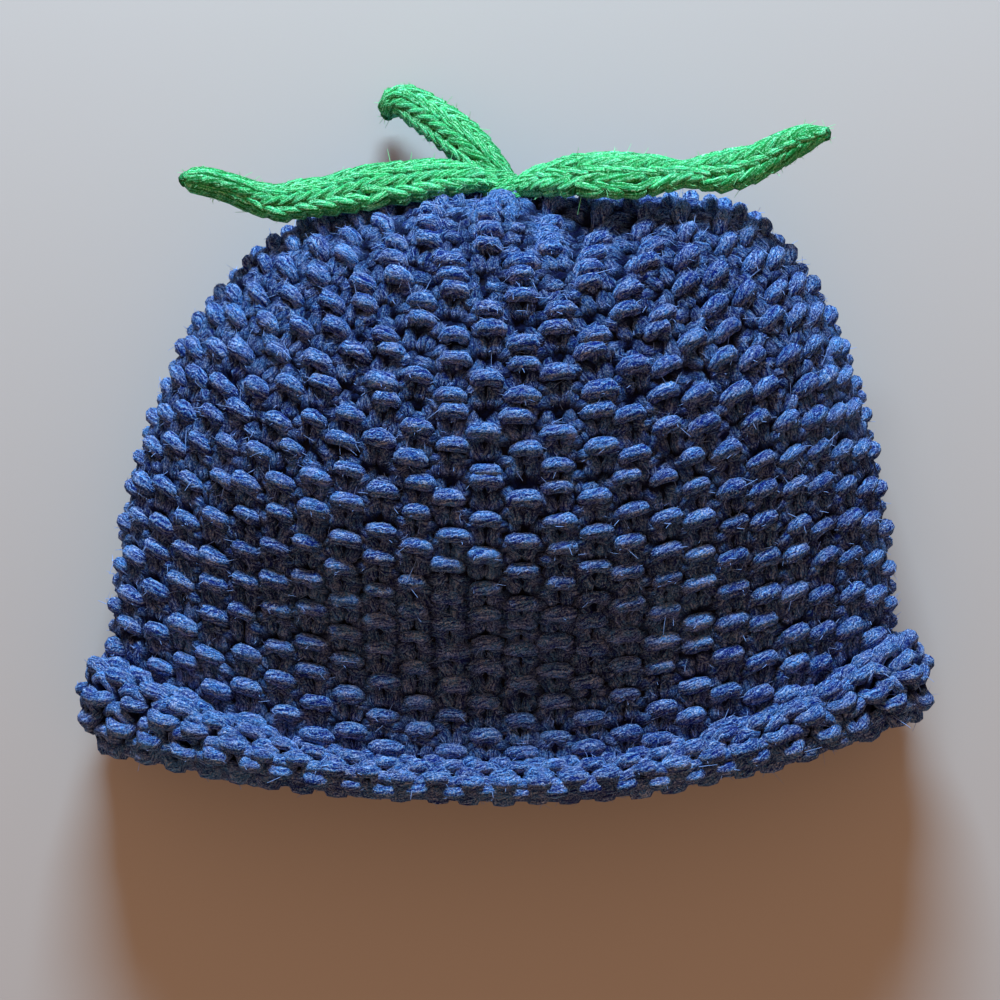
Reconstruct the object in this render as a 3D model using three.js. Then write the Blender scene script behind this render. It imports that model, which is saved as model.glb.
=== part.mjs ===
// A baby's hat, hand-knitted in thick navy wool like a berry, with a rolled brim and green knitted leaves.
// It lies on its back as it was put down: +Z is up from the table, the crown's tip points to +Y
// and the mouth opens to -Y. The front layer is domed and dented, and the back layer is flattened
// where it rests. Lengths are in millimetres.
import * as THREE from "three";

// Driving dimensions
const bodyWidth = 198; // across the widest part of the body as it lies
const bodyLength = 140; // from the crown's tip down to the brim, at the middle of the front
const restHeight = 56; // the highest part of the dome above the table
const wallThickness = 6.5; // seed stitch in thick yarn
const rollWidth = 11; // the brim's roll at the middle of the front
const leafThickness = 4.2; // one layer of stocking stitch in the green yarn
const leafWidth = 15.5; // the broadest part of a leaf, with its edges curled under
const seatGap = 0.5; // between pieces that touch

// How finely the meshes are divided
const quarterSteps = 16;
const foldDetail = 1.3; // above 1, the steps are shorter near the two folded sides
const roundSteps = 26;
const leafSteps = 28;

// Rounds of knitting, from the crown's tip (along 0) to the brim (along 1). Out is a share of half the
// body width, down a share of the body length, and up a share of the rest height.
const roundColumns = [
  "along", "leftOut", "leftDown", "rightOut", "rightDown", "sideUp",
  "frontDown", "frontUp", "backDown", "backUp", "bend",
];
const rounds = namedRows(roundColumns, [
  [0.0, 0.0, 0.018, 0.0, 0.018, 0.46, 0.018, 0.46, 0.018, 0.46, 1.0],
  [0.06, 0.1, 0.019, 0.11, 0.018, 0.46, 0.027, 0.63, 0.027, 0.3, 1.0],
  [0.15, 0.255, 0.02, 0.275, 0.017, 0.455, 0.07, 0.86, 0.065, 0.09, 1.1],
  [0.26, 0.437, 0.04, 0.477, 0.022, 0.44, 0.18, 0.975, 0.165, -0.02, 1.3],
  [0.35, 0.569, 0.084, 0.624, 0.047, 0.41, 0.282, 1.0, 0.255, -0.03, 1.4],
  [0.43, 0.68, 0.142, 0.725, 0.104, 0.38, 0.375, 1.005, 0.35, -0.03, 1.5],
  [0.52, 0.785, 0.232, 0.82, 0.2, 0.34, 0.48, 0.99, 0.45, -0.03, 1.6],
  [0.62, 0.868, 0.352, 0.893, 0.315, 0.31, 0.6, 0.95, 0.57, -0.03, 1.7],
  [0.72, 0.935, 0.48, 0.944, 0.445, 0.29, 0.715, 0.885, 0.68, -0.03, 1.9],
  [0.81, 0.972, 0.605, 0.976, 0.575, 0.28, 0.818, 0.81, 0.785, -0.02, 2.1],
  [0.91, 0.996, 0.757, 0.994, 0.721, 0.315, 0.933, 0.745, 0.895, 0.01, 2.3],
  [1.0, 0.985, 0.905, 0.994, 0.862, 0.35, 1.035, 0.71, 0.995, 0.06, 2.5],
]);

// How a round bends between a side and the middle of a layer
const layers = {
  front: { widthPower: 0.85, upPower: 0.85 },
  back: { widthPower: 0.55, upPower: 0.55 },
};

// Dents and swellings of the dome. Around runs 0 to 4 from the right side over the front's middle (1) to
// the left side (2) and on over the back's middle (3). Depth is a share of the rest height.
const dents = namedRows(
  ["around", "along", "depth", "aroundReach", "alongReach"],
  [
    [1.0, 0.86, 0.165, 0.36, 0.11],
    [0.6, 0.66, 0.035, 0.12, 0.16],
    [1.48, 0.6, -0.03, 0.2, 0.12],
    [0.35, 0.5, -0.025, 0.16, 0.14],
    [1.22, 0.3, 0.02, 0.15, 0.07],
    [0.6, 0.16, 0.12, 0.3, 0.07],
  ],
);

// The roll is tight at the middle of each layer and loose at the two folded corners.
const rollWidening = { down: 0.85, out: 0.34, power: 4 };
const rollCentre = { down: 0.08, out: -0.05 }; // shares of the roll's width, from the wall's outer edge
const rollArcSteps = 13;

// Leaves. Each row is a point of the leaf's middle line: out, down and up as in the rounds, but from the
// crown's tip. Width and thick are shares of the full leaf, and tilt turns its face from up towards +Y, in degrees.
const leafColumns = ["out", "down", "up", "width", "thick", "tilt"];
const leafRoutes = {
  leaf_left: [
    [-0.021, 0.0, 0.52, 0.38, 0.9, 50],
    [-0.072, -0.01, 0.571, 0.551, 1, 46],
    [-0.116, -0.011, 0.607, 0.76, 1, 42],
    [-0.18, -0.008, 0.634, 0.88, 1, 42],
    [-0.244, -0.002, 0.643, 0.95, 1, 42],
    [-0.333, 0.006, 0.643, 1, 1, 42],
    [-0.436, 0.022, 0.625, 0.86, 1, 42],
    [-0.501, 0.027, 0.607, 0.76, 1.05, 32],
    [-0.547, 0.034, 0.598, 0.7, 1.15, 32],
    [-0.598, 0.028, 0.598, 0.533, 1.3, 25],
    [-0.661, 0.013, 0.625, 0.462, 1.4, 20],
    [-0.723, 0.002, 0.643, 0.427, 1.45, 20],
    [-0.773, -0.002, 0.634, 0.418, 1.45, 20],
  ],
  leaf_right: [
    [0.029, 0.004, 0.52, 0.38, 0.9, 50],
    [0.087, -0.007, 0.571, 0.72, 1, 44],
    [0.13, -0.012, 0.616, 0.88, 1, 40],
    [0.192, -0.016, 0.643, 1, 1, 40],
    [0.253, -0.016, 0.661, 1, 1, 40],
    [0.316, -0.014, 0.668, 1, 1, 40],
    [0.378, -0.015, 0.665, 0.84, 1, 40],
    [0.441, -0.011, 0.66, 0.445, 1.05, 42],
    [0.504, -0.016, 0.652, 0.74, 1.05, 32],
    [0.565, -0.024, 0.645, 0.78, 1.05, 32],
    [0.629, -0.037, 0.638, 0.605, 1.15, 28],
    [0.691, -0.06, 0.632, 0.533, 1.25, 25],
    [0.748, -0.077, 0.627, 0.409, 1.2, 25],
    [0.783, -0.081, 0.625, 0.284, 1, 25],
  ],
  leaf_back: [
    [0.01, -0.006, 0.44, 0.45, 1, 40],
    [-0.038, -0.041, 0.445, 0.6, 1.1, 20],
    [-0.085, -0.074, 0.429, 0.705, 1.2, 10],
    [-0.131, -0.103, 0.366, 0.705, 1.25, 0],
    [-0.173, -0.13, 0.295, 0.671, 1.25, 0],
    [-0.212, -0.151, 0.232, 0.636, 1.3, 0],
    [-0.252, -0.169, 0.188, 0.55, 1.4, 0],
    [-0.281, -0.169, 0.143, 0.473, 1.4, 0],
    [-0.295, -0.153, 0.107, 0.43, 1.35, 0],
  ],
};
const leafSectionSides = 12;
const leafEdgeCurl = 0.2; // how far the edges curl under, as a share of half the width
const leafEnd = { reach: 0.05, size: 0.45 }; // the length over which an end rounds off, and its last size

const materials = {
  wool: new THREE.MeshStandardMaterial({ color: 0x2c4270, roughness: 0.95, metalness: 0 }),
  leafYarn: new THREE.MeshStandardMaterial({ color: 0x2f9a4a, roughness: 0.9, metalness: 0 }),
};

function namedRows(columns, rows) {
  return rows.map((row) => Object.fromEntries(columns.map((name, i) => [name, row[i]])));
}

// A table's columns at one place along it, on smooth curves through its rows.
function tableAt(table, key, place) {
  const last = table.length - 1;
  let low = 0;
  while (low < last - 1 && place > table[low + 1][key]) low++;
  const [a, b] = [table[low], table[low + 1]];
  const [before, after] = [table[Math.max(low - 1, 0)], table[Math.min(low + 2, last)]];
  const span = b[key] - a[key];
  const t = (place - a[key]) / span;
  const found = {};
  for (const name of Object.keys(a)) {
    const startSlope = (b[name] - before[name]) / (b[key] - before[key]);
    const endSlope = (after[name] - a[name]) / (after[key] - a[key]);
    found[name] =
      (1 + 2 * t) * (1 - t) ** 2 * a[name] +
      t * (1 - t) ** 2 * span * startSlope +
      t * t * (3 - 2 * t) * b[name] +
      t * t * (t - 1) * span * endSlope;
  }
  return found;
}

// A quarter of a round, from one side to the middle of one layer.
class RoundQuarter extends THREE.Curve {
  constructor(round, side, layer) {
    super();
    const out = side === "right" ? round.rightOut : -round.leftOut;
    this.sideX = (out * bodyWidth) / 2;
    this.sideY = -(side === "right" ? round.rightDown : round.leftDown) * bodyLength;
    this.middleY = -round[layer + "Down"] * bodyLength;
    this.sideZ = round.sideUp * restHeight;
    this.middleZ = round[layer + "Up"] * restHeight;
    this.powers = { downPower: round.bend, ...layers[layer] };
  }

  getPoint(t, target = new THREE.Vector3()) {
    const [c, s] = [Math.cos((t * Math.PI) / 2), Math.sin((t * Math.PI) / 2)];
    const { widthPower, downPower, upPower } = this.powers;
    return target.set(
      this.sideX * Math.max(c, 0) ** widthPower,
      this.sideY + (this.middleY - this.sideY) * s ** downPower,
      Math.max(this.sideZ + (this.middleZ - this.sideZ) * s ** upPower, 0),
    );
  }
}

const quarterKinds = [
  { side: "right", layer: "front", towardsMiddle: true },
  { side: "left", layer: "front", towardsMiddle: false },
  { side: "left", layer: "back", towardsMiddle: true },
  { side: "right", layer: "back", towardsMiddle: false },
];
const quarterCache = new Map();

function quartersAt(along) {
  if (!quarterCache.has(along)) {
    const round = tableAt(rounds, "along", along);
    quarterCache.set(
      along,
      quarterKinds.map((kind) => new RoundQuarter(round, kind.side, kind.layer)),
    );
  }
  return quarterCache.get(along);
}

// The body's outer surface before its dents.
function plainPoint(around, along) {
  const turn = ((around % 4) + 4) % 4;
  const quarter = Math.floor(turn);
  const share = turn - quarter;
  const curve = quartersAt(along)[quarter];
  return curve.getPointAt(quarterKinds[quarter].towardsMiddle ? share : 1 - share);
}

const nearTip = 0.02; // closer to the tip than this the crown is a flat disc
const probe = 0.01;

function outwardNormal(around, along) {
  if (along < nearTip) return new THREE.Vector3(0, 1, 0);
  const high = Math.min(along + probe, 1);
  const acrossStep = plainPoint(around + probe, along).sub(plainPoint(around - probe, along));
  const downStep = plainPoint(around, high).sub(plainPoint(around, along - probe));
  return acrossStep.cross(downStep).normalize();
}

function dentDepth(around, along) {
  let depth = 0;
  for (const dent of dents) {
    const across = (around - dent.around) / dent.aroundReach;
    const down = (along - dent.along) / dent.alongReach;
    depth += dent.depth * restHeight * Math.exp(-across * across - down * down);
  }
  return depth;
}

// A point of the fabric: out is measured from the outer surface, and past the edge the surface runs on straight.
function fabricPoint(around, along, out) {
  const onBody = Math.min(along, 1);
  const normal = outwardNormal(around, onBody);
  const point = plainPoint(around, onBody).addScaledVector(normal, out - dentDepth(around % 4, onBody));
  if (along <= 1) return point;
  const before = plainPoint(around, 1 - probe);
  const step = plainPoint(around, 1).sub(before).divideScalar(probe);
  return point.addScaledVector(step, along - 1);
}

// Length of fabric from the tip to the edge along one column of stitches.
function columnLength(around) {
  let length = 0;
  let last = plainPoint(around, 0);
  for (let i = 1; i <= roundSteps; i++) {
    const next = plainPoint(around, i / roundSteps);
    length += next.distanceTo(last);
    last = next;
  }
  return length;
}

// A closed mesh from rings of equal size. Joined rings close on the first ring, and others get end points.
function meshFromRings(rings, ends) {
  const size = rings[0].length;
  const points = rings.flat();
  const faces = [];
  const bandCount = ends ? rings.length - 1 : rings.length;
  for (let j = 0; j < bandCount; j++) {
    for (let i = 0; i < size; i++) {
      const [a, b] = [j * size + i, j * size + ((i + 1) % size)];
      const [c, d] = [a, b].map((k) => (k + size) % (rings.length * size));
      faces.push(a, b, c, b, d, c);
    }
  }
  if (ends) {
    const [first, last] = [points.length, points.length + 1];
    const lastRing = (rings.length - 1) * size;
    points.push(ends[0], ends[1]);
    for (let i = 0; i < size; i++) {
      const next = (i + 1) % size;
      faces.push(first, next, i, last, lastRing + i, lastRing + next);
    }
  }
  const geometry = new THREE.BufferGeometry().setFromPoints(points);
  geometry.setIndex(faces);
  geometry.computeVertexNormals();
  return geometry;
}

const aroundSteps = 4 * quarterSteps;
const placesAround = Array.from({ length: aroundSteps }, (_, i) => {
  const quarter = Math.floor(i / quarterSteps);
  const share = i / quarterSteps - quarter;
  return quarter + (quarter % 2 ? 1 - (1 - share) ** foldDetail : share ** foldDetail);
});

function crownGeometry() {
  const outer = [];
  const inner = [];
  for (let j = 1; j <= roundSteps; j++) {
    const along = j / roundSteps;
    outer.push(placesAround.map((around) => fabricPoint(around, along, 0)));
    inner.unshift(placesAround.map((around) => fabricPoint(around, along, -wallThickness)));
  }
  const tip = [0, -wallThickness].map((out) => fabricPoint(0, 0, out));
  return meshFromRings([...outer, ...inner], tip);
}

// The roll's section is most of a round, with a notch where the wall's edge sits in it.
function rolledBrimGeometry() {
  const rings = placesAround.map((around) => {
    const cornerShare = Math.abs(Math.cos((around * Math.PI) / 2)) ** rollWidening.power;
    const radiusDown = (rollWidth / 2) * (1 + rollWidening.down * cornerShare);
    const radiusOut = (rollWidth / 2) * (1 + rollWidening.out * cornerShare);
    const centreDown = rollCentre.down * rollWidth;
    const centreOut = rollCentre.out * rollWidth + radiusOut - rollWidth / 2;
    const length = columnLength(around);
    const startTurn = Math.acos((seatGap - centreDown) / radiusDown);
    const endTurn = Math.PI + Math.asin((centreOut - seatGap) / radiusOut);
    const section = [];
    for (let k = 0; k <= rollArcSteps; k++) {
      const turn = -startTurn + ((startTurn + endTurn) * k) / rollArcSteps;
      section.push([centreDown + radiusDown * Math.cos(turn), centreOut + radiusOut * Math.sin(turn)]);
    }
    section.push([seatGap, seatGap]);
    return section.map(([down, out]) => {
      const point = fabricPoint(around, 1 + down / length, out);
      point.z = Math.max(point.z, 0);
      return point;
    });
  });
  return meshFromRings(rings, null);
}

function leafGeometry(route) {
  const rows = namedRows(leafColumns, route).map((row, i) => ({ ...row, place: i / (route.length - 1) }));
  const middleLine = new THREE.CatmullRomCurve3(
    rows.map(({ out, down, up }) => new THREE.Vector3((out * bodyWidth) / 2, -down * bodyLength, up * restHeight)),
    false,
    "centripetal",
  );
  const rings = [];
  for (let j = 0; j <= leafSteps; j++) {
    const place = j / leafSteps;
    const row = tableAt(rows, "place", place);
    const centre = middleLine.getPoint(place);
    const ahead = middleLine.getTangent(place);
    const tilt = THREE.MathUtils.degToRad(row.tilt);
    const face = new THREE.Vector3(0, Math.sin(tilt), Math.cos(tilt));
    face.addScaledVector(ahead, -face.dot(ahead)).normalize();
    const across = new THREE.Vector3().crossVectors(face, ahead);
    const section = leafSection(row, place);
    rings.push(section.map(([w, h]) => centre.clone().addScaledVector(across, w).addScaledVector(face, h)));
  }
  return meshFromRings(rings, [middleLine.getPoint(0), middleLine.getPoint(1)]);
}

// A leaf's section: a flat oval whose edges curl under. It closes in over the last steps at each end.
function leafSection(row, place) {
  const endShare = Math.min(1, Math.min(place, 1 - place) / leafEnd.reach);
  const closing = leafEnd.size + (1 - leafEnd.size) * Math.sqrt(endShare * (2 - endShare));
  const halfWidth = (row.width * leafWidth * closing) / 2;
  const halfThick = (row.thick * leafThickness * closing) / 2;
  return Array.from({ length: leafSectionSides }, (_, k) => {
    const turn = (2 * Math.PI * k) / leafSectionSides;
    const sideways = Math.cos(turn);
    return [halfWidth * sideways, halfThick * Math.sin(turn) - leafEdgeCurl * halfWidth * sideways ** 2];
  });
}

function addPiece(group, name, geometry, material) {
  const mesh = new THREE.Mesh(geometry, material);
  mesh.name = name;
  group.add(mesh);
}

const hat = new THREE.Group();
addPiece(hat, "crown", crownGeometry(), materials.wool);
addPiece(hat, "rolled_brim", rolledBrimGeometry(), materials.wool);
for (const [name, route] of Object.entries(leafRoutes)) {
  addPiece(hat, name, leafGeometry(route), materials.leafYarn);
}

// The origin is under the middle of the whole hat, on the table.
const bounds = new THREE.Box3().setFromObject(hat);
hat.position.set(-(bounds.min.x + bounds.max.x) / 2, -(bounds.min.y + bounds.max.y) / 2, -bounds.min.z);

export default hat;
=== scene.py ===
import math

import bmesh
import bpy
import numpy as np
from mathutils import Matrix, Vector


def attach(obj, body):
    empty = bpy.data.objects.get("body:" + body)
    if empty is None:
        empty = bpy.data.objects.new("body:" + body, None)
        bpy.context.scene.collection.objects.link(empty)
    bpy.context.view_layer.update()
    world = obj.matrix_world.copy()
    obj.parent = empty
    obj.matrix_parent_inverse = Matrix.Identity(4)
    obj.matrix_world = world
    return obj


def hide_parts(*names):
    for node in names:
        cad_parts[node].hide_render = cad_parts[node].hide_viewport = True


# A baby's hand-knitted berry hat. Every round of yarn is laid as real loops over the body's own surface:
# seed stitch on the crown, a rolled brim with its purl side out, and stocking stitch on the leaves.
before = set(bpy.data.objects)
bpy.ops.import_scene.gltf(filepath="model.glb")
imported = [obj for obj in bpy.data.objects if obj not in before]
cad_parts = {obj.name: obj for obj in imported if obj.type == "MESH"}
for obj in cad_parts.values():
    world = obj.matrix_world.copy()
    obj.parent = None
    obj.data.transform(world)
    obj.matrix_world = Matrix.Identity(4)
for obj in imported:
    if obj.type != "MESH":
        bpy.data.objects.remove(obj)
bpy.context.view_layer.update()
mm = 0.001
rng = np.random.default_rng(1711)

# The body as it lies, in millimetres. The values are the solid part's, but the right shoulder stands up to 2 mm
# further out, where the photograph shows its outline.
body = {
    "width": 198,
    "length": 140,
    "restHeight": 56,
    "wall": 6.5,
    "rollWidth": 11,
    "middle": (-0.42, 61.508, 0),  # the crown's tip on the table, from the part's origin
    "frontPowers": (0.85, 0.85),
    "backPowers": (0.55, 0.55),
}
roundColumns = ["along", "leftOut", "leftDown", "rightOut", "rightDown", "sideUp",
                "frontDown", "frontUp", "backDown", "backUp", "bend"]
roundTable = [
    [0.0, 0.0, 0.018, 0.0, 0.018, 0.46, 0.018, 0.46, 0.018, 0.46, 1.0],
    [0.06, 0.1, 0.019, 0.11, 0.018, 0.46, 0.027, 0.63, 0.027, 0.3, 1.0],
    [0.15, 0.255, 0.02, 0.275, 0.012, 0.455, 0.07, 0.86, 0.065, 0.09, 1.1],
    [0.26, 0.437, 0.034, 0.477, 0.01, 0.44, 0.18, 0.975, 0.165, -0.02, 1.3],
    [0.35, 0.569, 0.078, 0.624, 0.038, 0.41, 0.282, 1.0, 0.255, -0.03, 1.4],
    [0.43, 0.68, 0.142, 0.725, 0.104, 0.38, 0.375, 1.005, 0.35, -0.03, 1.5],
    [0.52, 0.785, 0.232, 0.82, 0.2, 0.34, 0.48, 0.99, 0.45, -0.03, 1.6],
    [0.62, 0.868, 0.352, 0.893, 0.315, 0.31, 0.6, 0.95, 0.57, -0.03, 1.7],
    [0.72, 0.935, 0.48, 0.944, 0.445, 0.29, 0.715, 0.885, 0.68, -0.03, 1.9],
    [0.81, 0.972, 0.605, 0.976, 0.575, 0.28, 0.818, 0.81, 0.785, -0.02, 2.1],
    [0.91, 0.996, 0.757, 0.994, 0.721, 0.315, 0.933, 0.745, 0.895, 0.01, 2.3],
    [1.0, 0.985, 0.905, 0.994, 0.862, 0.35, 1.035, 0.71, 0.995, 0.06, 2.5],
]
# Each dent: around, along, depth, reach around, reach along. A depth below zero is a bulge.
dentTable = [
    [1.0, 0.86, 0.165, 0.36, 0.11],
    [0.6, 0.66, 0.035, 0.12, 0.16],
    [1.48, 0.6, -0.03, 0.2, 0.12],
    [0.35, 0.5, -0.025, 0.16, 0.14],
    [1.22, 0.3, 0.02, 0.15, 0.07],
    [0.6, 0.16, 0.12, 0.3, 0.07],
]
rollWidening = {"down": 0.85, "out": 0.34, "power": 4}
rollCentre = {"down": 0.08, "out": -0.05}


# Every column of a table at one place along it, on the same smooth curves as the solid part's
def rowAt(table, place, keys):
    last = len(table) - 1
    low = int(np.clip(np.searchsorted(keys, place, side="left") - 1, 0, last - 1))
    a, b = table[low], table[low + 1]
    lowBefore, highAfter = max(low - 1, 0), min(low + 2, last)
    span = keys[low + 1] - keys[low]
    t = (place - keys[low]) / span
    startSlope = (b - table[lowBefore]) / (keys[low + 1] - keys[lowBefore])
    endSlope = (table[highAfter] - a) / (keys[highAfter] - keys[low])
    return ((1 + 2 * t) * (1 - t) ** 2 * a + t * (1 - t) ** 2 * span * startSlope
            + t * t * (3 - 2 * t) * b + t * t * (t - 1) * span * endSlope)


# One quarter of a round, in even steps of its own length
def quarterPoints(row, side, layer, steps):
    share = np.linspace(0, 1, 161)
    c, s = np.cos(share * np.pi / 2).clip(0), np.sin(share * np.pi / 2)
    widthPower, upPower = body[layer + "Powers"]
    sideX = (row["rightOut"] if side == "right" else -row["leftOut"]) * body["width"] / 2
    sideY = -row[side + "Down"] * body["length"]
    sideZ = row["sideUp"] * body["restHeight"]
    middleY, middleZ = -row[layer + "Down"] * body["length"], row[layer + "Up"] * body["restHeight"]
    points = np.stack([sideX * c ** widthPower, sideY + (middleY - sideY) * s ** row["bend"],
                       np.maximum(sideZ + (middleZ - sideZ) * s ** upPower, 0)], axis=1)
    return evenly(points, steps)


def lengths(points):
    return np.concatenate([[0], np.cumsum(np.linalg.norm(np.diff(points, axis=0), axis=1))])


def evenly(points, steps):
    run = lengths(points)
    wanted = np.linspace(0, run[-1], steps + 1)
    return np.stack([np.interp(wanted, run, points[:, k]) for k in range(3)], axis=1)


# The whole outer surface as a grid: rows along from the tip to the edge, columns around from the right side
alongSteps, quarterSteps = 160, 72
aroundSteps = 4 * quarterSteps


def bodyGrid():
    table = np.array(roundTable)
    rows = []
    for along in np.linspace(0, 1, alongSteps + 1):
        row = dict(zip(roundColumns, rowAt(table, along, table[:, 0])))
        rows.append(np.concatenate([
            quarterPoints(row, "right", "front", quarterSteps)[:-1],
            quarterPoints(row, "left", "front", quarterSteps)[::-1][:-1],
            quarterPoints(row, "left", "back", quarterSteps)[:-1],
            quarterPoints(row, "right", "back", quarterSteps)[::-1][:-1],
        ]))
    plain = np.array(rows)
    across = np.roll(plain, -2, axis=1) - np.roll(plain, 2, axis=1)
    down = np.gradient(plain, axis=0)
    normal = np.cross(across, down)
    length = np.linalg.norm(normal, axis=2, keepdims=True)
    normal = np.where(length > 1e-9, normal / np.maximum(length, 1e-9), 0)
    normal[:4] = (0, 1, 0)
    around = np.arange(aroundSteps)[None, :] * 4 / aroundSteps
    along = np.linspace(0, 1, alongSteps + 1)[:, None]
    depth = np.zeros((alongSteps + 1, aroundSteps))
    for place, alongPlace, deep, aroundReach, alongReach in dentTable:
        depth += deep * body["restHeight"] * np.exp(
            -((around - place) / aroundReach) ** 2 - ((along - alongPlace) / alongReach) ** 2)
    return plain - normal * depth[..., None], normal, down * alongSteps


surface, surfaceNormal, surfaceDown = bodyGrid()
surface = surface + body["middle"]
columnLength = np.linalg.norm(np.diff(surface, axis=0), axis=2).sum(axis=0)


# A value of the grid at any place, blended between its four neighbours
def onGrid(grid, around, along):
    x = (around % 4) * aroundSteps / 4
    y = np.clip(along, 0, 1) * alongSteps
    x0, y0 = np.floor(x).astype(int), np.minimum(np.floor(y).astype(int), alongSteps - 1)
    fx, fy = x - x0, y - y0
    if grid.ndim == 3:
        fx, fy = fx[..., None], fy[..., None]
    x0, x1 = x0 % aroundSteps, (x0 + 1) % aroundSteps
    top = grid[y0, x0] * (1 - fx) + grid[y0, x1] * fx
    low = grid[y0 + 1, x0] * (1 - fx) + grid[y0 + 1, x1] * fx
    return top * (1 - fy) + low * fy


def unit(vectors):
    return vectors / np.linalg.norm(vectors, axis=-1, keepdims=True).clip(1e-6)


def bodyNormal(around, along):
    return unit(onGrid(surfaceNormal, around, along))


def bodyPoint(around, along, out):
    past = np.maximum(along - 1, 0)[..., None] * onGrid(surfaceDown, around, along)
    return onGrid(surface, around, along) + bodyNormal(around, along) * out[..., None] + past


# The roll: turn 0 points on past the edge, a quarter turn points outward, and inset goes in from its surface
def rollPoint(around, turn, inset):
    cornerShare = np.abs(np.cos(around * np.pi / 2)) ** rollWidening["power"]
    radiusDown = body["rollWidth"] / 2 * (1 + rollWidening["down"] * cornerShare)
    radiusOut = body["rollWidth"] / 2 * (1 + rollWidening["out"] * cornerShare)
    centreDown = rollCentre["down"] * body["rollWidth"]
    centreOut = rollCentre["out"] * body["rollWidth"] + radiusOut - body["rollWidth"] / 2
    down = centreDown + (radiusDown - inset) * np.cos(turn)
    out = centreOut + (radiusOut - inset) * np.sin(turn)
    span = np.interp(around % 4, np.arange(aroundSteps + 1) * 4 / aroundSteps,
                     np.append(columnLength, columnLength[0]))
    return bodyPoint(around, 1 + down / span, out)


# One stitch as a loop of yarn, from the middle of one sinker to the next: how far along the row (u, in
# stitches), up towards the next round (v, in rounds) and out of the fabric (w, in shares of the look's depth).
# Knit stitches have their legs in front, and purl stitches their feet and the head below them.
loop = {
    "points": 16,
    "flat": 0.65,  # below 1 the head is flatter than a round arc
    "lean": 0.5,  # sideways and upward, in shares of the looseness
    "lift": 0.6,
    "headFat": 0.1,
    "unevenFat": 0.08,
}
anchorPhase = np.array([0.0, 0.1, 0.2, 0.33, 0.44, 0.56, 0.67, 0.8, 0.9, 1.0])
# How far out each part of a loop lies, in front or behind: feet, legs, shoulders and head
seedDepths = {"front": (0.2, 0.15, 0.0, 1.25), "behind": (-0.75, -0.9, -0.7, -0.8)}
plumpDepths = {"front": (0.35, 1.0, 0.8, 1.35), "behind": (-0.9, -1.0, -0.8, -0.9)}
evenDepths = {"front": (0.9, 1.0, 0.8, 1.15), "behind": (-0.9, -1.0, -0.8, -0.9)}


def loopShape(knit, nextKnit, beforeKnit, afterKnit, depths):
    front, behind = depths["front"], depths["behind"]
    feet = np.where(knit, behind[0], front[0])
    legs = np.where(knit, front[1], behind[1])
    shoulders = np.where(nextKnit, front[2], behind[2])
    head = np.where(nextKnit, behind[3], front[3])
    start = (feet + np.where(beforeKnit, behind[0], front[0])) / 2
    end = (feet + np.where(afterKnit, behind[0], front[0])) / 2
    return np.stack([start, feet, legs, shoulders, head, head, shoulders, legs, feet, end], axis=-1)


# Smooth curve through the anchors of every stitch at once
def throughAnchors(values, phase):
    k = np.clip(np.searchsorted(anchorPhase, phase, side="right") - 1, 0, len(anchorPhase) - 2)
    t = (phase - anchorPhase[k]) / (anchorPhase[k + 1] - anchorPhase[k])
    t = t * t * (3 - 2 * t)
    return values[..., k] * (1 - t) + values[..., k + 1] * t


# Wobble that changes smoothly around a round, made of a few waves
def wobble(around, size, waves=7):
    total = np.zeros_like(around)
    for wave in range(1, waves + 1):
        total += rng.normal() * np.sin(wave * around * np.pi / 2 + rng.uniform(0, 2 * np.pi))
    return size * total / math.sqrt(waves)


# All the loops of one round, as places around (0 to 4), v, w and shares of the yarn's radius
def roundOfLoops(count, knitOf, roundNumber, look):
    looseness = look["looseness"]
    column = np.arange(count)
    knit = knitOf(column, roundNumber)
    shape = loopShape(knit, knitOf(column, roundNumber + 1), knitOf(column - 1, roundNumber),
                      knitOf(column + 1, roundNumber), look["depths"])
    phase = np.arange(loop["points"]) / loop["points"]
    reach = look["reach"] * (1 + looseness * rng.normal(size=(count, 1)))
    neck = look["neck"] * (1 + looseness * rng.normal(size=(count, 1)))
    lean = looseness * loop["lean"] * rng.normal(size=(count, 1))
    bump = np.sin(phase * np.pi) ** 2
    u = column[:, None] + phase - 0.5 + neck * np.sin(4 * np.pi * phase) + lean * bump
    swing = np.cos(2 * np.pi * phase)
    lift = looseness * loop["lift"] * rng.normal(size=(count, 1)) * bump
    v = -reach * np.sign(swing) * np.abs(swing) ** loop["flat"] + lift
    w = throughAnchors(shape, phase)
    front = np.clip(w, 0, 1)
    radius = (1 + loop["headFat"] * front * np.cos(2 * np.pi * phase) ** 2
              + loop["unevenFat"] * rng.normal(size=(count, 1)) * bump
              + look["lumps"] * rng.normal(size=w.shape))
    return (u + 0.5) * 4 / count, v, w, radius


# One closed round of yarn, lifted wherever it would go through the table
def closedRound(points, outward, radius, w, look):
    points, radius = points.reshape(-1, 3), radius.ravel()
    points[:, 2] = np.maximum(points[:, 2], look["yarn"] * radius / 2)
    return {"points": points, "outward": outward.reshape(-1, 3), "radius": radius, "depth": w.ravel(),
            "stitches": len(w), "closed": True}


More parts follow.
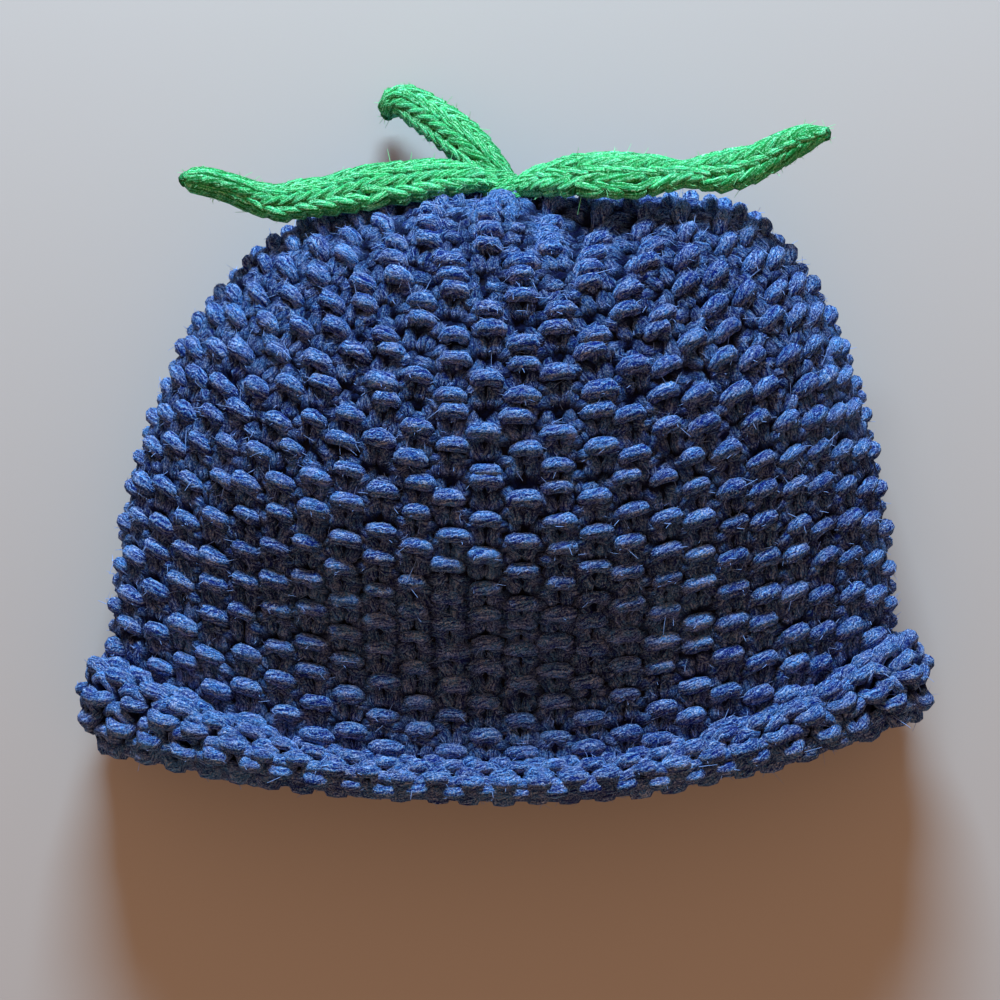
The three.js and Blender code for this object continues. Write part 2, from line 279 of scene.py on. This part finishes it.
# Yarns are curves with a round bevel. Each becomes a mesh with u in stitches and v round the yarn.
def yarnMesh(name, strands, thickness, roundness):
    curve = bpy.data.curves.new(name, "CURVE")
    curve.dimensions = "3D"
    curve.bevel_depth = thickness / 2 * mm
    curve.bevel_resolution = roundness
    closed = all(strand["closed"] for strand in strands)
    curve.use_fill_caps = not closed
    for strand in strands:
        spline = curve.splines.new("POLY")
        spline.points.add(len(strand["points"]) - 1)
        flat = np.ones((len(strand["points"]), 4), np.float32)
        flat[:, :3] = strand["points"] * mm
        spline.points.foreach_set("co", flat.ravel())
        spline.points.foreach_set("radius", strand["radius"].astype(np.float32).ravel())
        spline.use_cyclic_u = strand["closed"]
    holder = bpy.data.objects.new(name + "_curve", curve)
    bpy.context.scene.collection.objects.link(holder)
    bpy.context.view_layer.update()
    mesh = bpy.data.meshes.new_from_object(holder.evaluated_get(bpy.context.evaluated_depsgraph_get()))
    bpy.data.objects.remove(holder)
    mesh.name = name
    if closed:
        sides = len(mesh.vertices) // sum(len(strand["points"]) for strand in strands)
        uv = np.empty(len(mesh.loops) * 2, np.float32)
        mesh.uv_layers[0].data.foreach_get("uv", uv)
        perStrand = [len(strand["points"]) * sides * 4 for strand in strands]
        uv[::2] *= np.repeat([strand["stitches"] for strand in strands], perStrand)
        mesh.uv_layers[0].data.foreach_set("uv", uv)
        # Each point's depth in the fabric, which the yarn finish reads to paint shade on yarn that lies deep
        shadeDepth = np.concatenate([np.repeat(strand["depth"], sides) for strand in strands])
        mesh.attributes.new("shadeDepth", "FLOAT", "POINT").data.foreach_set("value", shadeDepth.astype(np.float32))
    mesh.polygons.foreach_set("use_smooth", np.ones(len(mesh.polygons), bool))
    return mesh


def addPiece(name, mesh, material, slot, *nodes):
    piece = bpy.data.objects.new(name, mesh)
    bpy.context.scene.collection.objects.link(piece)
    mesh.materials.clear()
    mesh.materials.append(material)
    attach(piece, "root")
    if nodes:
        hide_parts(*nodes)
    print(name, len(mesh.polygons), "faces")


# Shader maths: an expression on sockets adds its Math nodes
class Value:
    def __init__(self, tree, socket):
        self.tree, self.socket = tree, socket

    def math(self, operation, *others, swapped=False):
        terms = [self, *others]
        if swapped:
            terms.reverse()
        return self.tree.node("ShaderNodeMath", {"operation": operation}, dict(enumerate(terms))).out(0)

    def __add__(self, other):
        return self.math("ADD", other)

    __radd__ = __add__

    def __sub__(self, other):
        return self.math("SUBTRACT", other)

    def __rsub__(self, other):
        return self.math("SUBTRACT", other, swapped=True)

    def __mul__(self, other):
        return self.math("MULTIPLY", other)

    __rmul__ = __mul__

    def sin(self):
        return self.math("SINE")

    def abs(self):
        return self.math("ABSOLUTE")

    def between(self, low, high):
        return self.tree.node("ShaderNodeMapRange", {"interpolation_type": "SMOOTHSTEP"},
                              {0: self, 1: low, 2: high, 3: 0.0, 4: 1.0}).out(0)


class Node:
    def __init__(self, tree, node):
        self.tree, self.node = tree, node

    def out(self, name):
        return Value(self.tree, self.node.outputs[name])


# A material whose nodes are added by type, settings and the values or links of their sockets
class Finish:
    def __init__(self, name):
        self.material = bpy.data.materials.new(name)
        self.material.use_nodes = True
        self.nodes = self.material.node_tree.nodes
        self.links = self.material.node_tree.links
        self.shader = self.nodes["Principled BSDF"]

    def node(self, kind, settings=None, sockets=None):
        made = self.nodes.new(kind)
        for key, value in (settings or {}).items():
            setattr(made, key, value)
        for key, value in (sockets or {}).items():
            self.set(made.inputs[key], value)
        return Node(self, made)

    def set(self, socket, value):
        if isinstance(value, Value):
            self.links.new(value.socket, socket)
        else:
            socket.default_value = value

    def shade(self, sockets):
        for name, value in sockets.items():
            self.set(self.shader.inputs[name], value)
        return self.material

    def noise(self, scale, detail=3.0, roughness=0.55):
        place = self.node("ShaderNodeTexCoord").out("Object")
        return self.node("ShaderNodeTexNoise", {"noise_dimensions": "3D"},
                         {"Vector": place, "Scale": scale, "Detail": detail, "Roughness": roughness}).out(0)

    def blend(self, share, low, high):
        return self.node("ShaderNodeMix", {"data_type": "RGBA", "blend_type": "MIX"},
                         {0: share, 6: low, 7: high}).out(2)

    def bump(self, height, distance):
        return self.node("ShaderNodeBump", None,
                         {"Height": height, "Distance": distance, "Strength": 1.0}).out("Normal")


# Yarn spun from soft strands that wind round it, with fine fibres along them and a fuzz of flecks. Its colour
# changes a little over a few stitches. Painted highlight and shade make each strand lighter and the grooves
# between them darker, and painted shade darkens the yarn that lies deep in the fabric.
def yarnFinish(name, colours, look):
    finish = Finish(name)
    uv = finish.node("ShaderNodeUVMap", {"uv_map": "UVMap"}).out(0)
    parts = finish.node("ShaderNodeSeparateXYZ", None, {0: uv})
    run, turn = parts.out(0), parts.out(1)
    waver = finish.noise(1 / (3.5 * mm), 3.0)
    angle = (turn + run * look["twist"] + (waver - 0.5) * look["waver"]) * (2 * math.pi)
    ridge = ((angle * look["strands"]).sin() + 1) * 0.5
    alongYarn = finish.node("ShaderNodeCombineXYZ", None, {
        0: angle.sin() * look["fibres"], 1: (angle + math.pi / 2).sin() * look["fibres"],
        2: run * look["fibreRun"]})
    fibres = finish.node("ShaderNodeTexNoise", None, {
        "Vector": alongYarn.out(0), "Scale": 1.0, "Detail": 4.0, "Roughness": 0.7}).out(0)
    fuzz = finish.noise(1 / (look["fuzz"] * mm), 3.0, 0.7)
    patches = finish.noise(1 / (24 * mm), 2.0)  # about three stitches wide
    tint = finish.noise(1 / (3.2 * mm), 2.0)
    streak = fibres.between(0.4, 0.6)
    fleck = fuzz.between(0.38, 0.62)
    # Painted highlight and shade: the ridges term lightens each strand and darkens the grooves between them;
    # the streaks, flecks and patches are the wool's own uneven tone
    tone = (ridge - 0.5) * look["ridges"] + streak * 0.62 + fleck * 0.38 + (patches - 0.5) * 0.6
    light = finish.blend(tint.between(0.42, 0.62), colours["light"], colours["second"])
    base = finish.blend(tone.between(0.08, 0.85), colours["shade"], light)
    # Painted shade: yarn lying deeper in the fabric is blended toward a near-black groove colour, standing in
    # for the shade between stitches
    shadeDepth = finish.node("ShaderNodeAttribute", {"attribute_name": "shadeDepth"}).out("Fac")
    deep = (0 - shadeDepth).between(*look["shadeFrom"])
    base = finish.blend(deep * look["shadeShare"], base, colours["grooveShade"])
    stray = streak * fuzz.between(0.5, 0.57) * (1 - (patches - 0.5).abs())
    base = finish.blend(stray * 0.7 * (1 - deep), base, colours["stray"])
    height = ridge * look["ridges"] + streak * 0.5 + fuzz * 1.4
    normal = finish.bump(height, look["relief"] * mm)
    return finish.shade({"Base Color": base, "Roughness": 0.95, "Normal": normal, "Specular IOR Level": 0.04,
                         "Sheen Weight": look["sheen"], "Sheen Roughness": 0.5, "Sheen Tint": colours["stray"]})


# Each yarn's colours: light and second are its own, stray is its pale fibres, shade is the dark end of its
# tone, and the groove colour is painted shade for yarn deep in the fabric
navyColours = {
    "light": (0.095, 0.35, 0.95, 1),
    "second": (0.15, 0.31, 0.84, 1),
    "shade": (0.001, 0.015, 0.21, 1),
    "grooveShade": (0.0, 0.001, 0.035, 1),
    "stray": (0.62, 0.75, 1.0, 1),
}
greenColours = {
    "light": (0.045, 0.7, 0.25, 1),
    "second": (0.06, 0.66, 0.31, 1),
    "shade": (0.004, 0.17, 0.03, 1),
    "grooveShade": (0.0, 0.02, 0.002, 1),
    "stray": (0.5, 0.98, 0.7, 1),
}
navyWool = yarnFinish("navyWool", navyColours, {
    "strands": 7, "twist": 0.7, "waver": 0.3, "ridges": 0.2, "fibres": 6.0, "fibreRun": 7.0, "fuzz": 0.5,
    "relief": 0.85, "sheen": 0.03, "shadeFrom": (-0.45, 0.6), "shadeShare": 0.95})
greenYarn = yarnFinish("greenYarn", greenColours, {
    "strands": 4, "twist": 0.8, "waver": 0.16, "ridges": 0.45, "fibres": 3.0, "fibreRun": 6.0, "fuzz": 0.4,
    "relief": 0.3, "sheen": 0.1, "shadeFrom": (-0.2, 0.7), "shadeShare": 0.6})
navyFluff = Finish("navyFluff").shade(
    {"Base Color": (0.2, 0.36, 0.8, 1), "Roughness": 1.0, "Specular IOR Level": 0.1})
greenFluff = Finish("greenFluff").shade(
    {"Base Color": (0.2, 0.75, 0.38, 1), "Roughness": 1.0, "Specular IOR Level": 0.1})
# The core's near-black, faintly mottled colour is painted shade for the gaps between stitches
coreFinish = Finish("navyShade")
mottledShade = coreFinish.blend(coreFinish.noise(1 / (2.5 * mm)), (0.004, 0.005, 0.012, 1), (0.012, 0.014, 0.03, 1))
navyShade = coreFinish.shade({"Base Color": mottledShade, "Roughness": 1.0, "Specular IOR Level": 0.0})
print("finishes made")

# Crown in seed stitch: plain and purl stitches change places from column to column and round to round. Yarn,
# stitch and round are its thickness, width and height in millimetres.
crown = {
    "yarn": 3.6,
    "stitch": 8.15,
    "round": 4.15,
    "mostStitches": 52,
    "looseness": 0.13,
    "lumps": 0.07,  # how unevenly thick the yarn is
    "depth": 1.5,  # how far the loops stand out of the middle of the fabric
    "depths": seedDepths,
    "reach": 0.88,
    "neck": 0.2,
    "firstRound": 0.6,
    "lastRun": 2,  # no round nearer to the tip than this
    "sway": 0.4,
    "swayOut": 0.15,
    "gathered": 1.6,  # the fabric is thicker where it is drawn together at the tip
    "gatheredReach": 0.16,
    "pieces": 3,
}
frontMiddle = aroundSteps // 4
frontRun = lengths(surface[:, frontMiddle])
alongPlaces = np.linspace(0, 1, alongSteps + 1)
roundCount = int(frontRun[-1] // crown["round"])


def seedStitch(column, roundNumber):
    return (column + roundNumber) % 2 == 0


# The share of the way along at a distance from the tip, over the front's middle
def alongAtRun(run):
    inside = np.interp(run, frontRun, alongPlaces)
    return inside + np.maximum(run - frontRun[-1], 0) / frontRun[-1]


# An even number of stitches, so that the pattern meets itself
def stitchesAt(along):
    row = int(round(min(along, 1) * alongSteps))
    ring = surface[row] - surfaceNormal[row] * body["wall"] / 2
    around = np.linalg.norm(np.diff(np.append(ring, ring[:1], axis=0), axis=0), axis=1).sum()
    wanted = around / crown["stitch"]
    step = 4 if wanted > 16 else 2
    return int(min(max(step * round(wanted / step), 4), crown["mostStitches"]))


def crownStrands():
    strands = []
    for number in range(roundCount):
        run = frontRun[-1] - (number + crown["firstRound"]) * crown["round"]
        if run < crown["lastRun"]:
            break
        count = stitchesAt(alongAtRun(run))
        around, v, w, radius = roundOfLoops(count, seedStitch, number, crown)
        place = run - v * crown["round"] + wobble(around, crown["sway"])
        along = np.maximum(alongAtRun(place), 0.004)
        gathered = crown["gathered"] * np.exp(-(along / crown["gatheredReach"]) ** 2)
        out = -body["wall"] / 2 + w * crown["depth"] + wobble(around, crown["swayOut"]) + gathered
        strands.append(closedRound(bodyPoint(around, along, out), bodyNormal(around, along), radius, w, crown))
    return strands


strands = crownStrands()
print(len(strands), "crown rounds,", sum(strand["stitches"] for strand in strands), "stitches")
perPiece = math.ceil(sum(strand["stitches"] for strand in strands) / crown["pieces"])
groups, group, held = [], [], 0
for strand in strands:
    group.append(strand)
    held += strand["stitches"]
    if held >= perPiece:
        groups.append(group)
        group, held = [], 0
if group:
    groups.append(group)
for place, group in zip(["edge", "middle", "tip"], groups):
    addPiece("crownStitches_" + place, yarnMesh("crownStitches_" + place, group, crown["yarn"], 2),
             navyWool, "navy_wool", "crown")


# A thin near-black sheet in the middle of the fabric, so that no light shows through between the stitches; its
# colour is painted shade in the gaps
core = {"firstRow": 8, "step": 4, "lowest": 2.4, "thickness": 0.6}


def crownCore():
    made = bmesh.new()
    rings = []
    for row in range(core["firstRow"], alongSteps + 1, core["step"]):
        ring = surface[row] - surfaceNormal[row] * body["wall"] / 2
        ring[:, 2] = np.maximum(ring[:, 2], core["lowest"])
        rings.append([made.verts.new(Vector(point * mm)) for point in ring[::core["step"]]])
    edges = [[made.edges.new((a, b)) for a, b in zip(ring, ring[1:] + ring[:1])] for ring in rings]
    for upper, lower in zip(edges, edges[1:]):
        bmesh.ops.bridge_loops(made, edges=upper + lower)
    bmesh.ops.contextual_create(made, geom=edges[0])
    bmesh.ops.recalc_face_normals(made, faces=made.faces)
    bmesh.ops.solidify(made, geom=made.faces, thickness=core["thickness"] * mm)
    mesh = bpy.data.meshes.new("crownCore")
    made.to_mesh(mesh)
    made.free()
    mesh.polygons.foreach_set("use_smooth", np.ones(len(mesh.polygons), bool))
    return mesh


addPiece("crownCore", crownCore(), navyShade, "navy_wool", "crown")

# The brim rolls outward on its own, so it shows its purl side. Every other round is half a stitch further on.
brim = {
    "yarn": 3.2,
    "rounds": 8,
    "firstTurn": -75,
    "perRound": 44,
    "inset": 2.9,
    "looseness": 0.12,
    "lumps": 0.07,
    "depth": 1.25,
    "depths": plumpDepths,
    "reach": 0.88,
    "neck": 0.17,
    "sway": 0.05,
    "swayOut": 0.12,
    "cornerFat": 0.12,  # the yarn is looser and fatter where the roll turns round the sides
}


def purlStitch(column, roundNumber):
    return np.zeros(column.shape, bool)


def brimStrands():
    strands = []
    count = crown["mostStitches"]
    for number in range(brim["rounds"]):
        around, v, w, radius = roundOfLoops(count, purlStitch, number, brim)
        halfStitch = 2 / count
        around = around + number % 2 * halfStitch
        turn = np.radians(brim["firstTurn"] + (number - v) * brim["perRound"]) + wobble(around, brim["sway"])
        inset = brim["inset"] - w * brim["depth"] + wobble(around, brim["swayOut"])
        points = rollPoint(around, turn, inset)
        outward = unit(rollPoint(around, turn, inset - 1) - points)
        radius = radius * (1 + brim["cornerFat"] * np.abs(np.cos(around * np.pi / 2)) ** rollWidening["power"])
        strands.append(closedRound(points, outward, radius, w, brim))
    return strands


brimRounds = brimStrands()
addPiece("brimStitches", yarnMesh("brimStitches", brimRounds, brim["yarn"], 2), navyWool, "navy_wool",
         "rolled_brim")
print("brim rolled")

# Each row of a leaf's middle line: across, along and up from the crown's tip, width, thickness and tilt in
# degrees. The middle of leaf_right lies up to 3 mm higher than the solid's, as its shadow shows.
leaves = {
    "leaf_left": [
        [-0.021, 0.0, 0.52, 0.38, 0.9, 50], [-0.072, -0.01, 0.571, 0.551, 1, 46],
        [-0.116, -0.011, 0.607, 0.76, 1, 42], [-0.18, -0.008, 0.634, 0.88, 1, 42],
        [-0.244, -0.002, 0.643, 0.95, 1, 42], [-0.333, 0.006, 0.643, 1, 1, 42],
        [-0.436, 0.022, 0.625, 0.86, 1, 42], [-0.501, 0.027, 0.607, 0.76, 1.05, 32],
        [-0.547, 0.034, 0.598, 0.7, 1.15, 32], [-0.598, 0.028, 0.598, 0.533, 1.3, 25],
        [-0.661, 0.013, 0.625, 0.462, 1.4, 20], [-0.723, 0.002, 0.643, 0.427, 1.45, 20],
        [-0.773, -0.002, 0.634, 0.418, 1.45, 20]],
    "leaf_right": [
        [0.029, 0.004, 0.52, 0.38, 0.9, 50], [0.087, -0.007, 0.571, 0.72, 1, 44],
        [0.13, -0.012, 0.64, 0.88, 1, 40], [0.192, -0.013, 0.69, 1, 1, 42],
        [0.253, -0.012, 0.72, 1, 1, 42], [0.316, -0.01, 0.725, 1, 1, 42],
        [0.378, -0.011, 0.715, 0.84, 1, 42], [0.441, -0.01, 0.7, 0.5, 1.05, 42],
        [0.504, -0.014, 0.68, 0.74, 1.05, 32], [0.565, -0.022, 0.665, 0.78, 1.05, 32],
        [0.629, -0.037, 0.638, 0.605, 1.15, 28], [0.691, -0.06, 0.632, 0.533, 1.25, 25],
        [0.748, -0.077, 0.627, 0.409, 1.2, 25], [0.783, -0.081, 0.625, 0.284, 1, 25]],
    "leaf_back": [
        [0.01, -0.006, 0.44, 0.45, 1, 40], [-0.038, -0.041, 0.445, 0.6, 1.1, 20],
        [-0.085, -0.074, 0.429, 0.705, 1.2, 10], [-0.131, -0.103, 0.366, 0.705, 1.25, 0],
        [-0.173, -0.13, 0.295, 0.671, 1.25, 0], [-0.212, -0.151, 0.232, 0.636, 1.3, 0],
        [-0.252, -0.169, 0.188, 0.55, 1.4, 0], [-0.281, -0.169, 0.143, 0.473, 1.4, 0],
        [-0.295, -0.153, 0.107, 0.43, 1.35, 0]],
}
leafLook = {
    "width": 15.5,
    "thickness": 4.2,
    "edgeCurl": 0.2,
    "endShare": 0.05,  # how much of the length it narrows over, and to what share of the width
    "endWidth": 0.45,
    "yarn": 2.6,
    "stitch": 5.4,
    "round": 4.2,
    "looseness": 0.07,
    "lumps": 0.025,
    "depth": 0.45,
    "depths": evenDepths,
    "reach": 0.95,
    "neck": 0.26,
}


# Places, tilts and sizes along a leaf, on the curve that the solid leaf follows
def leafLine(route, steps):
    rows = np.array(route)
    points = rows[:, :3] * (body["width"] / 2, -body["length"], body["restHeight"])
    points = points + body["middle"]
    padded = np.concatenate([[2 * points[0] - points[1]], points, [2 * points[-1] - points[-2]]])
    places, found = np.linspace(0, len(points) - 1, steps + 1), []
    for place in places:
        k = min(int(place), len(points) - 2)
        found.append(centripetal(*padded[k:k + 4], place - k))
    keys = np.arange(len(points), dtype=float)
    return np.array(found), np.array([rowAt(rows, place, keys) for place in places])


def centripetal(a, b, c, d, t):
    steps = [max(np.linalg.norm(step), 1e-6) ** 0.5 for step in [b - a, c - b, d - c]]
    startSlope = ((b - a) / steps[0] - (c - a) / (steps[0] + steps[1]) + (c - b) / steps[1]) * steps[1]
    endSlope = ((c - b) / steps[1] - (d - b) / (steps[1] + steps[2]) + (d - c) / steps[2]) * steps[1]
    return ((1 + 2 * t) * (1 - t) ** 2 * b + t * (1 - t) ** 2 * startSlope
            + t * t * (3 - 2 * t) * c + t * t * (t - 1) * endSlope)


# A place on a leaf's oval section, sideways and up, at a share of the way round from the middle of its face
def leafSection(halfWidth, halfThick, turn):
    t = np.linspace(0, 2 * np.pi, 121)
    w = halfWidth * np.cos(t)
    h = halfThick * np.sin(t) - leafLook["edgeCurl"] * halfWidth * np.cos(t) ** 2
    run = lengths(np.stack([w, h, 0 * t], axis=1))
    place = (run[30] + turn * run[-1]) % run[-1]
    return np.interp(place, run, w), np.interp(place, run, h), run[-1]


def knitStitch(column, roundNumber):
    return np.ones(column.shape, bool)


# Rounds of stocking stitch from the leaf's root to its tip
def leafStrands(route):
    line, sizesAt = leafLine(route, 240)
    run = lengths(line)
    ahead = unit(np.gradient(line, axis=0))
    tilt = np.radians(sizesAt[:, 5])
    face = np.stack([0 * tilt, np.sin(tilt), np.cos(tilt)], axis=1)
    face = unit(face - ahead * (face * ahead).sum(axis=1, keepdims=True))
    across = np.cross(face, ahead)
    share = np.minimum(1, np.minimum(run, run[-1] - run) / (leafLook["endShare"] * run[-1]))
    closing = leafLook["endWidth"] + (1 - leafLook["endWidth"]) * np.sqrt(share * (2 - share))
    halfWidth = sizesAt[:, 3] * leafLook["width"] * closing / 2
    halfThick = sizesAt[:, 4] * leafLook["thickness"] * closing / 2
    columns = np.column_stack([line, across, face, ahead, halfWidth, halfThick])
    inset = leafLook["yarn"] * 0.5
    rounds = int(run[-1] // leafLook["round"])
    step = run[-1] / (rounds + 0.6)
    strands = []
    for number in range(rounds + 1):
        start = step * (number + 0.3)
        wide, thick = np.interp(start, run, halfWidth) - inset, np.interp(start, run, halfThick) - inset
        around = leafSection(max(wide, 0.8), max(thick, 0.5), 0)[2]
        count = int(min(max(2 * round(around / leafLook["stitch"] / 2), 4), 8))
        turns, v, w, radius = roundOfLoops(count, knitStitch, number, leafLook)
        places = start + v.ravel() * step
        points, outward = [], []
        for turn, place, deep in zip(turns.ravel() / 4 - 0.5 / count, places, w.ravel()):
            here = np.array([np.interp(place, run, column) for column in columns.T])
            grow = deep * leafLook["depth"] - inset
            sideways, up, _ = leafSection(max(here[12] + grow, 0.6), max(here[13] + grow, 0.45), turn)
            past = 0.3 * (place - np.clip(place, 0, run[-1]))
            points.append(here[:3] + here[3:6] * sideways + here[6:9] * up + here[9:12] * past)
            outward.append(here[3:6] * sideways / max(here[12], 1) + here[6:9] * up / max(here[13], 1))
        strands.append(closedRound(np.array(points), unit(np.array(outward)), radius, w, leafLook))
    return strands


leafRounds = []
for name, route in leaves.items():
    rounds = leafStrands(route)
    leafRounds += rounds
    addPiece(name + "_stitches", yarnMesh(name + "_stitches", rounds, leafLook["yarn"], 1), greenYarn,
             "green_yarn", name)
print("leaves knitted")

# A few wraps of the green yarn sew the three leaves together over the crown's tip
sewing = {"wraps": 6, "yarn": 2.0, "reach": 4.6, "front": (-3.0, 31.0), "back": (2.6, 27.0), "arch": 1.5,
          "narrowing": 0.25, "lean": 0.5, "points": 12}


def sewingWraps():
    wraps = []
    for share in np.linspace(0, 1, sewing["wraps"]):
        y, z = (1 - share) * np.array(sewing["front"]) + share * np.array(sewing["back"])
        t = np.linspace(0, 1, sewing["points"])
        lean = rng.normal(0, sewing["lean"], 2)
        points = np.stack([(2 * t - 1) * sewing["reach"] * (1 - sewing["narrowing"] * share) + lean[0],
                           y + lean[1] * (2 * t - 1), z + sewing["arch"] * np.sin(np.pi * t)], axis=1)
        wraps.append({"points": points + body["middle"], "radius": np.ones(sewing["points"]), "closed": False})
    return wraps


addPiece("leafSewing", yarnMesh("leafSewing", sewingWraps(), sewing["yarn"], 2), greenYarn, "green_yarn")

# Loose fibres that stand off the yarn: many short straight ones, and fewer longer ones that curl. Each starts
# on a front part of a loop, and the spreads say how far it leans, slides and strays.
fluffLook = {
    "edge": {"short": 6000, "curly": 1200, "yarn": crown["yarn"], "finish": navyFluff, "slot": "navy_wool"},
    "middle": {"short": 6000, "curly": 1200, "yarn": crown["yarn"], "finish": navyFluff, "slot": "navy_wool"},
    "tip": {"short": 6000, "curly": 1000, "yarn": crown["yarn"], "finish": navyFluff, "slot": "navy_wool"},
    "brim": {"short": 3200, "curly": 600, "yarn": brim["yarn"], "finish": navyFluff, "slot": "navy_wool"},
    "leaf": {"short": 2000, "curly": 200, "yarn": leafLook["yarn"], "finish": greenFluff, "slot": "green_yarn"},
}
fibreLook = {
    "short": {"length": 1.1, "thickness": 0.16, "bends": (0.0, 1.0), "taper": (1.0, 0.5)},
    "curly": {"length": 1.3, "thickness": 0.11, "bends": (0.0, 0.5, 1.0), "taper": (1.0, 0.85, 0.35)},
}
fibreSpread = {"lean": 1.3, "seat": 0.42, "slide": 0.6, "length": 0.35, "off": 0.6, "along": 1.2, "stray": 0.5,
               "curl": 0.6, "droop": 0.5, "lowest": 0.1}


def looseFibres(strands, count, yarn, look):
    spread = fibreSpread
    points = np.concatenate([strand["points"] for strand in strands])
    outward = np.concatenate([strand["outward"] for strand in strands])
    ahead = np.concatenate([unit(np.roll(strand["points"], -1, axis=0) - strand["points"])
                            for strand in strands])
    depth = np.concatenate([strand["depth"] for strand in strands])
    picked = rng.choice(np.flatnonzero(depth > 0), count)
    side = np.cross(outward[picked], ahead[picked])
    lean = rng.uniform(-spread["lean"], spread["lean"], (count, 1))
    off = unit(outward[picked] * np.cos(lean) + side * np.sin(lean))
    slide = ahead[picked] * rng.uniform(-spread["slide"], spread["slide"], (count, 1))
    start = points[picked] + off * yarn * spread["seat"] + slide
    length = look["length"] * np.exp(rng.normal(0, spread["length"], (count, 1)))
    heading = unit(off * spread["off"] + ahead[picked] * rng.normal(0, spread["along"], (count, 1))
                   + rng.normal(0, spread["stray"], (count, 3)))
    curl = rng.normal(0, spread["curl"], (count, 3))
    fibres = np.stack([start + length * (heading * t + curl * t * t - off * spread["droop"] * t * t)
                       for t in look["bends"]], axis=1)
    fibres[..., 2] = np.maximum(fibres[..., 2], spread["lowest"])
    return [{"points": fibre, "radius": np.array(look["taper"]), "closed": False} for fibre in fibres]


fluffStrands = dict(zip(["edge", "middle", "tip"], groups), brim=brimRounds, leaf=leafRounds)
for name, look in fluffLook.items():
    for kind, fibreKind in fibreLook.items():
        fibres = looseFibres(fluffStrands[name], look[kind], look["yarn"], fibreKind)
        title = name + kind.title() + "Fluff"
        addPiece(title, yarnMesh(title, fibres, fibreKind["thickness"], 0), look["finish"], look["slot"])
print("fluff added")


def aim(thing, target):
    thing.rotation_euler = (Vector(target) - thing.location).to_track_quat("-Z", "Y").to_euler()


# Camera straight above the table, where the photograph was taken from
view = {"place": (-0.00119, -0.01595, 0.6), "fieldOfView": 24.24}
camera = bpy.data.objects.new("camera", bpy.data.cameras.new("camera"))
camera.location = view["place"]
camera.data.sensor_width = 36
camera.data.lens = 18 / math.tan(math.radians(view["fieldOfView"] / 2))
camera.data.clip_start = 0.01
bpy.context.scene.collection.objects.link(camera)
bpy.context.scene.camera = camera

# Low soft light from beyond the crown's tip, a faint warm fill and a little warm light from everywhere
lights = {
    "key": {"place": (-0.05, 0.98, 0.43), "size": (0.45, 0.2), "power": 26.8, "colour": (0.72, 0.92, 1.02)},
    "fill": {"place": (0.5, -0.6, 1.3), "size": (1.6, 1.6), "power": 0.6, "colour": (1, 0.55, 0.32)},
}
for name, look in lights.items():
    lamp = bpy.data.lights.new(name, "AREA")
    lamp.shape = "RECTANGLE"
    lamp.size, lamp.size_y = look["size"]
    lamp.energy = look["power"]
    lamp.color = look["colour"]
    holder = bpy.data.objects.new(name, lamp)
    holder.location = look["place"]
    aim(holder, (0, 0, 0.02))
    bpy.context.scene.collection.objects.link(holder)

room = {"colour": (1.0, 0.51, 0.28, 1), "strength": 0.52}
world = bpy.data.worlds.new("room")
world.use_nodes = True
background = world.node_tree.nodes["Background"]
background.inputs["Color"].default_value = room["colour"]
background.inputs["Strength"].default_value = room["strength"]
bpy.context.scene.world = world
# The photograph's colours are as strong as this plain view gives them
bpy.context.scene.view_settings.view_transform = "Standard"

ground = bmesh.new()
bmesh.ops.create_grid(ground, x_segments=1, y_segments=1, size=3)
groundMesh = bpy.data.meshes.new("table")
ground.to_mesh(groundMesh)
ground.free()
table = bpy.data.objects.new("table", groundMesh)
bpy.context.scene.collection.objects.link(table)
paint = Finish("tablePaint")
groundMesh.materials.append(paint.shade({"Base Color": (0.4, 0.426, 0.458, 1), "Roughness": 0.6}))
print("table, light and camera set")
